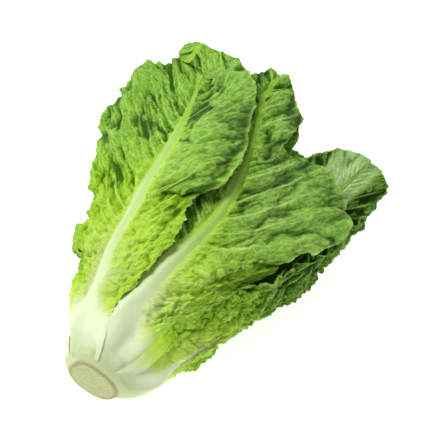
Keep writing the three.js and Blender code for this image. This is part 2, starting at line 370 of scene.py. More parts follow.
def relief(leaf, q, b):
    # folds, and a wave that grows to the margin
    out = np.zeros(np.broadcast(q, b).shape)
    for along, across, sizeAlong, sizeAcross, height in leaf["folds"]:
        out += height * np.exp(-((q - along) / sizeAlong) ** 2 - ((b - across) / sizeAcross) ** 2)
    wave = 0.5 + 0.5 * np.sin(q / sheet["waveLength"] + leaf["rank"] * 2 + np.where(b < 0, 1.7, 0))
    return out + leaf["frill"] * edgePlace(leaf, q, b) ** 3 * wave * smoothStep(q, *sheet["waveFrom"])


def place(s, phi, rho):
    turn = np.radians(phi)
    x = rho * np.cos(turn) * curveAt(head["sideSpread"], s)
    z = rho * np.sin(turn) * curveAt(head["flattening"], s)
    press = head["undersidePress"]
    z = np.where(z < 0, press * np.tanh(z / press), z)
    return np.stack([x, s, curveAt(head["axisHeight"], s) + z], -1)


def outwardStretch(s, phi, rho):
    return np.linalg.norm(place(s, phi, rho + 0.5) - place(s, phi, rho - 0.5), axis=-1)


def acrossAt(leaf, s, phi):
    return np.radians((phi - ribAngle(leaf, s) + 180) % 360 - 180) * widthRadius(s)


def onLeaf(leaf, s, phi):
    # the place along and across one leaf
    b = acrossAt(leaf, s, phi)
    return ribPointOf(s - leaf["foot"], b), b


def coverOf(leaf, s, q, b):
    # 1 where a leaf carries what lies over it, fading out past its margins
    beside = 1 - smoothStep(np.abs(b) - halfWidth(leaf, q, b), *head["coverBeside"])
    started = smoothStep(s - leaf["foot"], *head["coverStart"])
    return beside * (started * (1 - smoothStep(q - leaf["length"], *head["coverEnd"])))


def lifted(leaf, s, free, flared=1):
    stem = curveAt(head["stemRadius"], s)
    opened = leaf["share"] * smoothStep(s - leaf["foot"], *head["opening"])
    shell = stem + head["stemGap"] + (curveAt(head["radius"], s) - stem) * opened
    own = shell + curveAt(leaf["flare"], s - leaf["foot"]) * flared
    apart = own - free
    return (own + free + np.sqrt(apart * apart + head["blend"])) / 2


def packedRadius(rank, s, phi):
    # how far out the leaves inside this rank reach
    free = curveAt(head["stemRadius"], s) + head["stemGap"]
    for inner in range(head["leaves"], rank, -1):
        leaf = leaves[inner]
        q, b = onLeaf(leaf, s, phi)
        cover = coverOf(leaf, s, q, b)
        inside = lifted(leaf, s, free)
        needed = thickness(leaf, q, b) + curveAt(head["leafGap"], s)
        top = inside + relief(leaf, q, b) + needed / outwardStretch(s, phi, inside)
        free = free + cover * np.maximum(top - free, 0)
    return free


def looseness(rank, s, phi):
    # 1 where no other leaf lies over this one
    covered = np.zeros(s.shape)
    for outer in range(1, rank):
        leaf = leaves[outer]
        q, b = onLeaf(leaf, s, phi)
        under = 1 - smoothStep(np.abs(b) - halfWidth(leaf, q, b), 0, head["looseBeyond"])
        under = under * (1 - smoothStep(q - leaf["length"], 0, head["looseBeyond"]))
        covered = np.maximum(covered, under)
    return 1 - covered


# The fine sheets.
tone = {
    "green": [[0, -0.1], [22, 0], [36, 0.2], [50, 0.3], [75, 0.42], [105, 0.6], [135, 0.82], [180, 1.0]],
    "marginGreen": [[0, 0], [24, 0.2], [45, 0.5], [110, 0.12]],
    "ownGreen": {2: [[10, 0], [30, 0.13], [55, 0.1], [80, 0]]},
    # shares of the deeper green in 0 to 1, by place across the leaf and along it: partly the leaves' own
    # deeper green, partly painted shade on the inner leaves, on leaf 4 beside leaf 1's wing, on leaf 7's
    # edges and on leaf 2
    "deepGreenAndShadeAcross": {
        3: [[0, 0.5]],
        4: [[-4, 0.1], [6, 0.5], [14, 0.9]],
        5: [[0, 0.4]],
        6: [[0, 0.3]],
        7: [[-18, 0.9], [-12, 0.3], [-6, 0.05], [23, 0.05], [28, 1.0]],
        8: [[0, 0.4]],
    },
    "deepGreenAndShadeAlong": {2: [[40, 0.1], [90, 0.5], [140, 1.0]], 4: [[85, 0], [115, 0.25]]},
    # painted shade: leaf 1's lower left wing, turned away from the lamp, is darker
    "paintedShadePatch": {1: {"across": (10, 26), "along": (125, 85), "share": 0.45}},
    "innerDeepGreenAndShade": 0.2,
    "innerAfter": 8,
    # the pale painted sheen, by place along and across the leaf, and its share on a lobe that lies on
    # top; on leaf 7's upper half, which faces the lamp, it is painted light
    "wax": {1: [[120, 0], [170, 0.06]], 4: [[100, 0.02], [150, 0.06]]},
    "paintedSheenAcross": {7: [[-15, 0], [-9, 0.85], [22, 0.85], [27, 0.05]]},
    "lobePaintedSheen": 0.1,
}


def ownTone(name, leaf, place, plain=0):
    # one leaf's own curve, or the same share all over
    return curveAt(tone[name].get(leaf["rank"], [[0, plain]]), place)


def greenness(leaf, q, b):
    outwards = curveAt(tone["marginGreen"], q) * (edgePlace(leaf, q, b) - 0.5)
    return curveAt(tone["green"], q / leaf["stretch"]) + outwards + ownTone("ownGreen", leaf, q)


def deepGreenAndShade(leaf, q, b):
    plain = tone["innerDeepGreenAndShade"] if leaf["rank"] > tone["innerAfter"] else 0
    share = ownTone("deepGreenAndShadeAcross", leaf, b, plain) + ownTone("deepGreenAndShadeAlong", leaf, q)
    patch = tone["paintedShadePatch"].get(leaf["rank"])
    if patch:
        share = share + patch["share"] * smoothStep(b, *patch["across"]) * smoothStep(q, *patch["along"])
    return np.clip(share, 0, 1)


def paintedSheenShare(leaf, q, b):
    veil = ownTone("wax", leaf, q) + ownTone("paintedSheenAcross", leaf, b)
    for lobe in overlaps.get(leaf["rank"], []):
        if lobe["side"] < 0:
            veil = veil + tone["lobePaintedSheen"] * overlapShare(lobe, q, b, False)
    return veil


fine = {
    "firstRow": 1.0,  # the leaves' feet are inside the stem's flesh
    "footSink": [[0, 1.6], [5, 0.9], [12, 0.2], [18, 0]],
    "rowStep": {1: 1.1, 2: 1.3, 4: 1.1, 7: 1.3},  # between rows of the leaves that show most
    "plainRowStep": 1.9,
    "hiddenRowStep": 3.2,
    "hiddenFrom": 9,
    "ribColumns": 7,
    "bladeWidth": 60,  # columns are as far apart as the rows on a blade of this half width
    "ribShare": 0.75,  # the most of a narrow blade that the rib's columns take
    "marginThin": 0.45,  # share of the thickness left at the very margin
    "thinFrom": 0.8,
    "crestSharp": 0.9,
}

# The rib as it shows: half widths either side of its crest, and how far the crest wanders.
ribLook = {
    "plain": [[0, 13], [25, 12.5], [50, 8.5], [90, 5], [130, 3.6], [180, 2.4], [262, 1.3]],
    1: {
        "crest": [[0, 4], [14, 7], [30, 9], [45, 6.5], [58, 5], [70, 4.5], [82, 3.5], [95, 0.5],
                  [110, -2], [125, -4], [146, -7], [178, -7], [218, -3], [241, 4], [286, 5]],
        "left": [[0, 13], [15, 7.5], [30, 4.6], [45, 3.4], [85, 3], [110, 3.5], [130, 4.4], [150, 3.8],
                 [172, 2.4], [200, 1.2], [262, 0.8]],
        "right": [[0, 16], [18, 13], [30, 8], [45, 5], [70, 3.6], [95, 3.4], [110, 3.6], [130, 4.4],
                  [150, 3.8], [172, 2.4], [200, 1.2], [262, 0.8]],
        "height": [[0, 1], [20, 0.8], [40, 0.42], [85, 0.42], [125, 0.75], [262, 1]],
    },
    2: {
        "left": [[0, 12], [12, 8], [22, 4], [35, 1.6], [50, 0.6], [65, 0.2]],
        "right": [[0, 12], [15, 8], [28, 4], [40, 1.6], [55, 0.6], [65, 0.2]],
        "height": [[0, 1], [12, 0.8], [25, 0.4], [40, 0.15], [55, 0]],
    },
    4: {
        "crest": [[0, 2], [22, 6], [45, 9], [60, 8], [78, 7], [95, 5], [120, 2], [145, 0.5], [262, 0]],
        "height": [[0, 1], [40, 0.85], [100, 0.8]],
        "left": [[0, 14], [30, 12], [50, 6], [75, 4.2], [125, 3.2], [170, 2.4], [210, 1.7], [262, 1.2]],
        "right": [[0, 14], [30, 12], [50, 8], [75, 6], [125, 4], [170, 2.5], [210, 1.5], [262, 1.2]],
    },
}


def ribCurve(name, leaf, q, plain):
    return curveAt(ribLook.get(leaf["rank"], {}).get(name, plain), q)


def besideRib(leaf, q, b):
    return b - ribCurve("crest", leaf, q, [[0, 0]])


def ribPlace(leaf, q, b):
    # 0 on the rib's crest, 1 at its foot on either side
    off = besideRib(leaf, q, b)
    left, right = (ribCurve(side, leaf, q, ribLook["plain"]) for side in ("left", "right"))
    return np.abs(off) / (np.where(off < 0, right, left) * ribSlimness(leaf))


# How steeply the side veins climb away from the rib, on its left and its right.
steepness = {"plain": (1.0, 1.0), 1: (1.1, 1.8), 4: (1.0, 0.9)}
steepFrom = (30, 190)
flowStretch = 0.45  # wrinkles are longer along the veins than across them
leafApart = 90  # keeps one leaf's pattern clear of the next one's


def veinLanes(leaf, q, off):
    # lane is the same all along one side vein; flow runs across and along the veins
    left, right = steepness.get(leaf["rank"], steepness["plain"])
    steep = np.where(off < 0, right, left)
    beside = np.abs(off)
    lane = q - steep * beside * smoothStep(q, *steepFrom)
    size = np.sqrt(1 + steep * steep)
    across, along = (q - steep * beside) / size, (beside + steep * q) / size
    flow = np.stack([across, along * flowStretch, leaf["rank"] * leafApart + np.sign(off) * 20], -1)
    return lane, flow


# Rolls and hollows of the outer face: from along, from across, to along, to across, half width, height.
swells = {
    1: [(150, -25, 232, -25, 8, 3.2), (160, -11, 224, -14, 5, -6), (152, 25, 216, 38, 5, 4),
        (150, 43, 200, 47, 4, -2.5), (198, 19, 214, 15, 6, -2.5),
        (166, 18, 184, 14, 7, -2.5), (118, 28, 130, 26, 6, -2)],
    4: [(120, -20, 160, -52, 7, 3), (112, -28, 128, -50, 4, -3), (140, -18, 186, -44, 6, 3)],
    7: [(150, -12, 246, -14, 4, 3)],
}
# Places where the whole sheet lies lower, written as the swells are.
presses = {1: [(58, -16, 112, -32, 9, -3.5)]}

# Lobes that lie over their own leaf's lower wing. side is -1 on the right and 1 on the left. The
# lobe's lower edge starts at a distance along the rib and another out from it, and slants on.
overlaps = {
    1: [{"side": -1, "at": 121, "from": 7, "slant": 0.27, "wave": 0.8, "rise": 3.6, "over": 4.0,
         "length": 34},
        {"side": 1, "at": 75, "from": 11, "slant": -0.2, "wave": 0.8, "rise": 2.6, "over": 5.0,
         "length": 24}],
    4: [{"side": -1, "at": 88, "from": 8, "slant": 0.95, "wave": 2.5, "rise": 4.5, "over": 4.5,
         "length": 26}],
}
overlapEdge = {"waveLength": 11, "width": (-0.7, 0.7), "start": (-1, 7), "fadeFrom": 4}


def swellHeight(table, leaf, q, b):
    out = np.zeros(q.shape)
    for q1, b1, q2, b2, width, height in table.get(leaf["rank"], []):
        q3, b3 = q2 - q1, b2 - b1
        share = np.clip(((q - q1) * q3 + (b - b1) * b3) / (q3 * q3 + b3 * b3), 0, 1)
        away = np.hypot(q - q1 - share * q3, b - b1 - share * b3)
        out += height * np.exp(-(away / width) ** 2)
    return out


def overlapShare(lobe, q, b, fading=True):
    # 1 on the lobe's lower edge, 0 on the wing, fading up the lobe
    out = lobe["side"] * b
    line = lobe["at"] + lobe["slant"] * (out - lobe["from"])
    past = q - line - lobe["wave"] * ripple(out, overlapEdge["waveLength"], 2.0)
    share = smoothStep(past, *overlapEdge["width"])
    share = share * smoothStep(out - lobe["from"], *overlapEdge["start"])
    return share * (1 - smoothStep(past, overlapEdge["fadeFrom"], lobe["length"])) if fading else share


def ripple(x, length, seed):
    # a wandering wave between -1 and 1, the same for the same seed
    turn = 2 * math.pi * x / length
    waves = np.sin(turn + seed) + 0.7 * np.sin(1.73 * turn + 2.1 * seed)
    return (waves + 0.5 * np.sin(0.57 * turn + 3.7 * seed)) / 2.2


margin = {
    "ruffle": 2.6,
    "ruffleLength": 15,
    "ruffleFrom": (35, 75),
    "ruffleEdge": 0.55,
    "calmer": 0.6,  # how much smoother the margin is on the upper half
    "calmFrom": (110, 150),
    "raggedFrom": (30, 80),
    "raggedWidth": (6, 18),
    "lobe": 1.7,
    "lobeLength": 17,
    "tooth": 0.9,
    "toothLength": 5.5,
}


def raggedHalfWidth(leaf, q, sign):
    width = halfWidth(leaf, q, np.full(q.shape, float(sign)))
    seed = leaf["rank"] * 1.9 + sign
    lobes = margin["lobe"] * ripple(q, margin["lobeLength"], seed)
    teeth = margin["tooth"] * ripple(q, margin["toothLength"], seed + 5)
    calm = 1 - margin["calmer"] * smoothStep(q, *margin["calmFrom"])
    ragged = calm * smoothStep(q, *margin["raggedFrom"]) * smoothStep(width, *margin["raggedWidth"])
    return width + (lobes + teeth) * ragged


def leafRadii(leaf, q, b, s, phi):
    # the inner face's radius, and the step out from it to the outer face
    flared = 1 - smoothStep(b, *leaf["unflared"]) if "unflared" in leaf else 1
    rho = lifted(leaf, s, packedRadius(leaf["rank"], s, phi), flared) + relief(leaf, q, b)
    rho = rho + swellHeight(presses, leaf, q, b)
    thin = 1 - (1 - fine["marginThin"]) * smoothStep(edgePlace(leaf, q, b), fine["thinFrom"], 1)
    crest = (1 - np.clip(ribPlace(leaf, q, b), 0, 1)) ** fine["crestSharp"]
    crest = crest * ribCurve("height", leaf, q, [[0, 1]])
    deep = bladeThickness(leaf, q, b) * thin + ribHeight(leaf, q) * crest
    return rho, deep / outwardStretch(s, phi, rho)


def leafPoints(leaf, q, b, outer):
    s = leaf["foot"] + alongFrom(q, b)
    phi = ribAngle(leaf, s) + np.degrees(b / widthRadius(s))
    rho, step = leafRadii(leaf, q, b, s, phi)
    rho = rho - curveAt(fine["footSink"], s)
    step = step * outer
    for lobe in overlaps.get(leaf["rank"], []):
        over = overlapShare(lobe, q, b)
        s = s - lobe["over"] * over
        rho = rho + lobe["rise"] * over
    if leaf["curl"]:
        start = leaf["curl"]["from"]
        tight = sheet["curlTight"] * (1 - smoothStep(b, *sheet["curlTightTo"]))
        radius = leaf["curl"]["radius"] * (1 - tight)
        past = s - start
        turn = np.clip(past / radius, 0, sheet["curlTurn"])
        straight = np.maximum(past - turn * radius, 0)
        arm = radius - step
        curled = past > 0
        s = np.where(curled, start + arm * np.sin(turn) + straight * np.cos(turn), s)
        rise = radius - arm * np.cos(turn) + straight * np.sin(turn)
        rho = rho + np.where(curled, rise, step)
    else:
        rho = rho + step
    return place(s, phi, rho), phi, s


def leafGrid(leaf):
    rank = leaf["rank"]
    plain = fine["plainRowStep"] if rank < fine["hiddenFrom"] else fine["hiddenRowStep"]
    step = fine["rowStep"].get(rank, plain)
    rows = np.linspace(fine["firstRow"], leaf["length"], round(leaf["length"] / step) + 1)
    left, right = (raggedHalfWidth(leaf, rows, sign) for sign in (1, -1))
    rib = np.minimum(ribHalfWidth(leaf, rows), fine["ribShare"] * np.minimum(left, right))
    blade = round(fine["bladeWidth"] / step)
    inRib = np.linspace(0, 1, fine["ribColumns"] + 1)[1:]
    onBlade = np.linspace(0, 1, blade + 1)[1:]

    def side(width):
        return np.concatenate([rib[:, None] * inRib, rib[:, None] + (width - rib)[:, None] * onBlade], 1)

    b = np.concatenate([-side(right)[:, ::-1], np.zeros((len(rows), 1)), side(left)], 1)
    return np.repeat(rows[:, None], b.shape[1], 1), b


def addAttribute(mesh, name, values):
    # values on a grid of points, or a grid of vectors
    kind, field = ("FLOAT_VECTOR", "vector") if values.ndim == 3 else ("FLOAT", "value")
    layer = mesh.attributes.new(name, kind, "POINT")
    layer.data.foreach_set(field, np.asarray(values, np.float32).ravel())


def outwardOf(grid):
    along = np.gradient(grid, axis=0)
    across = np.gradient(grid, axis=1)
    normal = np.cross(along, across)
    return normal / np.maximum(np.linalg.norm(normal, axis=-1, keepdims=True), 1e-9)


def closedSheet(name, inner, outer):
    rows, across = inner.shape[:2]
    number = np.arange(rows * across).reshape(rows, across)
    far = number + rows * across
    near = [number[:-1, :-1], number[:-1, 1:], number[1:, 1:], number[1:, :-1]]
    quads = [np.stack(near, -1).reshape(-1, 4), np.stack(near[::-1], -1).reshape(-1, 4) + rows * across]
    for a, b, flip in ((number[:, 0], far[:, 0], False), (number[:, -1], far[:, -1], True),
                       (number[0], far[0], True), (number[-1], far[-1], False)):
        wall = np.stack([a[:-1], a[1:], b[1:], b[:-1]], -1)
        quads.append(wall[:, ::-1] if flip else wall)
    quads = np.concatenate(quads)
    mesh = bpy.data.meshes.new(name)
    points = np.concatenate([inner.reshape(-1, 3), outer.reshape(-1, 3)])
    mesh.from_pydata(points.tolist(), [], quads.tolist())
    mesh.shade_smooth()
    return mesh


def sheetObject(leaf):
    q, b = leafGrid(leaf)
    inner, phi, s = leafPoints(leaf, q, b, 0)
    outer, _, _ = leafPoints(leaf, q, b, 1)
    inner[..., 2] = np.maximum(inner[..., 2], sheet["marginThick"])
    outer[..., 2] = np.maximum(outer[..., 2], 0)
    outward = outwardOf(outer)
    loose = looseness(leaf["rank"], s, phi % 360)
    wave = ripple(q + 0.2 * b, margin["ruffleLength"], leaf["rank"] + np.sign(b)) * 0.6 + 0.4
    atMargin = smoothStep(edgePlace(leaf, q, b), margin["ruffleEdge"], 1)
    ruffle = margin["ruffle"] * wave * atMargin * smoothStep(q, *margin["ruffleFrom"]) * loose
    inner, outer = inner + outward * ruffle[..., None], outer + outward * ruffle[..., None]
    shift = np.array(headOrigin)
    mesh = closedSheet("leafSheet", inner * millimetre + shift, outer * millimetre + shift)
    off = besideRib(leaf, q, b)
    lane, flow = veinLanes(leaf, q, off)
    if leaf["curl"]:
        nearCurl = smoothStep(q - leaf["curl"]["from"], *sheet["curlCalmFrom"])
        loose = loose * (1 - nearCurl * sheet["curlCalm"])
    layers = {
        "spot": np.stack([q, b, np.full(q.shape, float(leaf["rank"] * leafApart))], -1),
        "flow": flow,
        "lane": lane,
        "beside": np.abs(off),
        "swell": swellHeight(swells, leaf, q, b),
        "outward": outward,
        "loose": loose,
        "ribShare": ribPlace(leaf, q, b),
        "edgeShare": np.abs(b) / halfWidth(leaf, q, b),
        "green": greenness(leaf, q, b),
        # the deeper green, partly the leaf's own colour and partly painted shade
        "deep": deepGreenAndShade(leaf, q, b),
        "wax": paintedSheenShare(leaf, q, b),
    }
    for name, values in layers.items():
        addAttribute(mesh, name, np.concatenate([values, values]))
    return newObject("leafSheet", mesh)


# Veins and puckers, set on the sheets by Geometry Nodes.
pucker = {
    "Vein spacing": 15.0,
    "Vein height": 0.7,
    "Bubble size": 9.0,
    "Bubble height": 4.4,
    "Crepe size": 4.5,
    "Crepe height": 1.9,
    "Fold size": 16.0,
    "Fold height": 4.4,
    "Fan spacing": 5.5,
    "Fan height": 1.4,
    "Sink": 2.0,
    "Lowest": -1.2,
    "Covered share": 0.1,
    "Upper from": 85.0,
    "Upper to": 140.0,
    "Seed": 7.0,
}
pattern = {
    "wanderSize": 33.0,  # how the side veins and the fan beside the rib wander
    "wanderVein": 16.0,
    "wanderFan": 8.0,
    "veinGaps": 20.0,
    "warpScale": 0.08,
    "foldWarp": (9.0, 9.0, 0.0),
    "bubbleWarp": (7.0, 7.0, 0.0),
    "fineBubble": 0.42,  # size and share of the finer bubbles
    "fineShare": 0.38,
    "fanLean": 1.1,
    "fanReach": 20.0,
    "bladeAcross": (0.95, 1.5),
    "bladeAlong": (18.0, 50.0),
}
ownPucker = {
    1: {"Vein spacing": 9.0, "Vein height": 1.0},
    4: {"Crepe height": 1.3, "Fold size": 18.0, "Fold height": 4.6},
    7: {"Crepe height": 0.8, "Fold height": 2.2},
}


def puckerTree():
    tree = bpy.data.node_groups.new("leafPucker", "GeometryNodeTree")
    bench = Bench(tree)
    tree.interface.new_socket("Leaf", in_out="INPUT", socket_type="NodeSocketGeometry")
    for name in pucker:
        tree.interface.new_socket(name, in_out="INPUT", socket_type="NodeSocketFloat")
    tree.interface.new_socket("Finish", in_out="INPUT", socket_type="NodeSocketMaterial")
    tree.interface.new_socket("Leaf", in_out="OUTPUT", socket_type="NodeSocketGeometry")
    start = tree.nodes.new("NodeGroupInput")
    given = {socket.name: Wire(bench, socket) for socket in start.outputs if socket.name}

    def stored(name, kind="FLOAT"):
        return bench.node("GeometryNodeInputNamedAttribute", {"data_type": kind}, {"Name": name})

    spot, flow = stored("spot", "FLOAT_VECTOR"), stored("flow", "FLOAT_VECTOR")
    ribShare, edgeShare, loose = (stored(name) for name in ("ribShare", "edgeShare", "loose"))
    lane, beside = stored("lane"), stored("beside")
    along = bench.node("ShaderNodeSeparateXYZ", {}, {0: spot}, out="X")
    seed = given["Seed"]

    wander = bench.noise(spot, pattern["wanderSize"], 1.0, seed) - 0.5
    fromVein = (lane + wander * pattern["wanderVein"]) / given["Vein spacing"]
    fromVein = fromVein.math("PINGPONG", 0.5)
    sideVein = 1.0 - fromVein.between(0.0, 0.1)
    sideVein = sideVein * (1.0 - edgeShare.between(0.5, 1.0)) * ribShare.between(0.8, 1.3)
    sideVein = sideVein * bench.noise(spot, pattern["veinGaps"], 0.0, seed + 5.0).between(0.3, 0.5)

    values = {"Vector": spot, "W": seed, "Scale": pattern["warpScale"], "Detail": 1.0}
    warp = bench.node("ShaderNodeTexNoise", {"noise_dimensions": "4D"}, values, out="Color")
    moving = {"operation": "MULTIPLY_ADD"}
    bent = bench.node("ShaderNodeVectorMath", moving, {0: warp, 1: pattern["foldWarp"], 2: flow})
    bowed = bench.node("ShaderNodeVectorMath", moving, {0: warp, 1: pattern["bubbleWarp"], 2: spot})

    bubble = bench.billows(bowed, given["Bubble size"], seed + 6.0)
    finer = bench.billows(bowed, given["Bubble size"] * pattern["fineBubble"], seed + 7.0)
    bubble = bubble * (1.0 - pattern["fineShare"]) + finer * pattern["fineShare"]
    fold = bench.billows(bent, given["Fold size"], seed + 3.0)
    crepe = bench.billows(bent, given["Crepe size"], seed + 1.0) * (0.35 + fold * 0.65)
    fan = along - beside * pattern["fanLean"] + wander * pattern["wanderFan"]
    fan = (fan / given["Fan spacing"]).math("PINGPONG", 0.5) * 2.0
    nearRib = 1.0 - (beside / pattern["fanReach"]).between(0.2, 1.0)

    onBlade = ribShare.between(*pattern["bladeAcross"]) * along.between(*pattern["bladeAlong"])
    freedom = given["Covered share"] + (1.0 - given["Covered share"]) * loose
    upper = along.between(given["Upper from"], given["Upper to"])
    height = sideVein * given["Vein height"] + crepe * given["Crepe height"]
    height = height + fold * given["Fold height"]
    height = height + fan * nearRib * given["Fan height"] * upper
    height = height * (0.5 + upper * 0.5) + bubble * given["Bubble height"] * (1.0 - upper)
    height = height - given["Sink"] + stored("swell")
    height = height.math("MAXIMUM", given["Lowest"] + crepe * 0.8) * onBlade * freedom * millimetre

    position = bench.node("GeometryNodeInputPosition")
    outward = stored("outward", "FLOAT_VECTOR")
    moved = bench.node("ShaderNodeVectorMath", moving, {0: outward, 1: height, 2: position})
    aboveRest = bench.node("ShaderNodeVectorMath", {"operation": "MAXIMUM"},
                           {0: moved, 1: (-9.0, -9.0, 0.0)})  # nothing goes under the ground
    leaf = bench.node("GeometryNodeSetPosition", {}, {"Geometry": given["Leaf"], "Position": aboveRest})

    # how raised each point is, stored as the mask for the painted shade in creases and the painted
    # highlight on the tops; the swells add painted light on their rolls and painted shade in their
    # hollows
    lift = (crepe * 0.6 + fold * 0.5) * (0.4 + upper * 0.6) + bubble * 0.75 * (1.0 - upper)
    lift = lift + sideVein * 0.3 + fan * nearRib * 0.3 * upper + stored("swell") * 0.09
    lift = lift.math("MAXIMUM", crepe * 0.9)
    lift = bench.node("ShaderNodeClamp", {}, {0: lift + (1.0 - onBlade)})
    for name, value in (("vein", sideVein), ("lift", lift)):
        leaf = bench.node("GeometryNodeStoreNamedAttribute", {"data_type": "FLOAT", "domain": "POINT"},
                          {"Geometry": leaf, "Name": name, "Value": value})
    leaf = bench.node("GeometryNodeRealizeInstances", {}, {"Geometry": leaf})
    leaf = bench.node("GeometryNodeSetMaterial", {}, {"Geometry": leaf, "Material": given["Finish"]})
    end = tree.nodes.new("NodeGroupOutput")
    tree.links.new(leaf.socket, end.inputs[0])
    return tree


def grown(source, tree, values, name):
    # the tree's result as a plain mesh
    modifier = source.modifiers.new("pucker", "NODES")
    modifier.node_group = tree
    for item in tree.interface.items_tree:
        if item.item_type == "SOCKET" and item.in_out == "INPUT" and item.name in values:
            modifier[item.identifier] = values[item.name]
    evaluated = source.evaluated_get(bpy.context.evaluated_depsgraph_get())
    mesh = bpy.data.meshes.new_from_object(evaluated)
    bare = source.data
    source.modifiers.remove(modifier)
    source.data = mesh
    bpy.data.meshes.remove(bare)
    source.name = mesh.name = name
    return source


# The finishes.
leafFinish = {
    "fresh": [(0.0, (232, 241, 204)), (0.1, (220, 238, 160)), (0.2, (204, 234, 108)),
              (0.42, (198, 238, 74)), (0.6, (170, 220, 46)), (0.8, (133, 189, 36)),
              (1.0, (117, 174, 33))],
    # the deeper greens, for the leaves' own deeper green and for painted shade
    "deep": [(0.0, (224, 234, 190)), (0.2, (190, 222, 100)), (0.42, (136, 186, 34)),
             (0.7, (84, 140, 8)), (1.0, (59, 111, 6))],
    "rib": [(0.0, (200, 215, 164)), (0.07, (230, 240, 202)), (0.2, (230, 240, 198)),
            (0.62, (174, 210, 112)), (0.8, (154, 196, 82)), (1.0, (130, 182, 58))],
    "ribDeep": (150, 200, 50),
    "streak": (196, 220, 150),
    "vein": (200, 232, 130),
    # painted sheen, a pale veil laid on the lit parts
    "wax": (196, 232, 156),
    # painted shade, multiplied into the creases and pockets between the puckers
    "paintedCreaseShade": (100, 126, 10),
    # painted highlight on the raised tops of the puckers
    "crest": (182, 224, 102),
    # painted light, a pale rim where the rolled margins catch the lamp
    "edge": (176, 214, 104),
    "mottle": 16.0,  # mm across the patches of colour
    "grain": 1.4,
    "crinkle": 1.5,  # mm across the finest wrinkles
    "crinkleHeight": 0.9,
    "bladeFrom": (20.0, 60.0),
    "tipFrom": (215.0, 255.0),  # where the rib runs out into the blade
    "deepRibFrom": (60.0, 150.0),
    "ribLength": 250.0,
    "roughness": 0.46,
    "gloss": 0.04,
}

stemFinish = {
    # painted shade: the side near the cut is darker and greyer than the leaves' feet, standing in for
    # the shade on the bulb's lower part
    "side": (200, 215, 164),
    "upper": (230, 240, 202),
    "cut": (196, 203, 150),
    "dry": (196, 196, 166),
    "rim": (182, 175, 120),
    "rimWidth": (0.8, 3.0),
    "cutEnds": (0.2, 1.6),
    "upperFrom": (3.0, 20.0),  # where the side takes the colour of the leaves' feet
    "roughness": 0.6,
    "gloss": 0.1,
}


def leafMaterial():
    material, bench = newMaterial("leaf")

    def stored(name, out="Fac"):
        return bench.node("ShaderNodeAttribute", {"attribute_name": name}, out=out)

    def ramp(value, stops):
        stops = [(at, fromScreen(*colour)) for at, colour in stops]
        return bench.node("ShaderNodeValToRGB", {"stops": stops}, {"Fac": value})

    def tinted(share, under, name, blend="MIX"):
        return bench.mixed(share, under, fromScreen(*leafFinish[name]), blend)

    spot = stored("spot", "Vector")
    along = bench.node("ShaderNodeSeparateXYZ", {}, {0: spot})
    green, deep = stored("green"), stored("deep")
    ribShare, vein = stored("ribShare"), stored("vein")
    flow = stored("flow", "Vector")
    mottle = bench.noise(spot, leafFinish["mottle"], 4.0)
    grain = bench.noise(spot, leafFinish["grain"], 3.0)
    crinkle = bench.noise(flow, leafFinish["crinkle"], 3.0, 4.0) * 0.55
    crinkle = crinkle + bench.noise(spot, leafFinish["crinkle"] * 1.2, 3.0, 5.0) * 0.45
    crinkle = crinkle.between(0.35, 0.65)
    tip = along.between(*leafFinish["tipFrom"]) * 0.85
    onBlade = 1.0 - (1.0 - ribShare.between(0.7, 1.2)) * (1.0 - tip)
    onBlade = onBlade * along.between(*leafFinish["bladeFrom"])

    fromRib = 0.6 + ribShare.between(0.9, 2.6) * 0.4
    shade = green * fromRib + (mottle - 0.5) * 0.4 - vein * 0.1
    # the deeper green stands partly for the leaves' own colour and partly for painted shade
    blade = bench.mixed(deep, ramp(shade, leafFinish["fresh"]), ramp(shade, leafFinish["deep"]))
    # how raised the surface is, with the finest wrinkles: the mask for the painted shade in the creases
    # and the painted highlight on the tops
    lift = stored("lift").between(0.0, 0.7) * 0.72 + crinkle * 0.28
    # painted shade: the blade is darkened where it lies low, in the creases and pockets
    paintedCreaseShade = (1.0 - lift) * (0.8 + green.between(0.35, 0.8) * 0.8) * onBlade
    blade = tinted(paintedCreaseShade, blade, "paintedCreaseShade", "MULTIPLY")
    # painted highlight: the highest tops are made paler
    blade = tinted(lift.between(0.7, 1.0) * onBlade * 0.4, blade, "crest")
    # painted light: a pale rim along the margins, where the rolled edges catch the lamp
    blade = tinted(stored("edgeShare").between(0.94, 1.0) * 0.5, blade, "edge")
    blade = tinted(vein * 0.6, blade, "vein")
    # painted sheen: a pale veil, stronger on the raised tops
    blade = tinted(stored("wax") * (0.15 + lift * 0.85) * onBlade, blade, "wax")

    rib = ramp(along / leafFinish["ribLength"], leafFinish["rib"])
    rib = tinted(deep * 1.5 * along.between(*leafFinish["deepRibFrom"]), rib, "ribDeep")
    drawnOut = bench.node("ShaderNodeVectorMath", {"operation": "MULTIPLY"},
                          {0: spot, 1: (0.12, 1.0, 1.0)})
    rib = tinted(bench.noise(drawnOut, 5.0, 2.0, 2.0).between(0.4, 0.75) * 0.6, rib, "streak")
    onRib = (1.0 - (ribShare + (grain - 0.5) * 0.3).between(0.45, 1.25)) * (1.0 - tip)
    colour = bench.mixed(onRib, blade, rib)
    height = grain * 0.3 + crinkle * onBlade * leafFinish["crinkleHeight"]
    bump = bench.node("ShaderNodeBump", {}, {"Strength": 0.8, "Distance": 0.001, "Height": height})
    shader = bench.node("ShaderNodeBsdfPrincipled", {}, {
        "Base Color": colour, "Roughness": leafFinish["roughness"], "Normal": bump,
        "Specular IOR Level": leafFinish["gloss"],
        "Subsurface Weight": 0.2, "Subsurface Radius": (0.6, 1.0, 0.25), "Subsurface Scale": 0.0012,
    })
    bench.node("ShaderNodeOutputMaterial", {}, {"Surface": shader}, out=None)
    return material


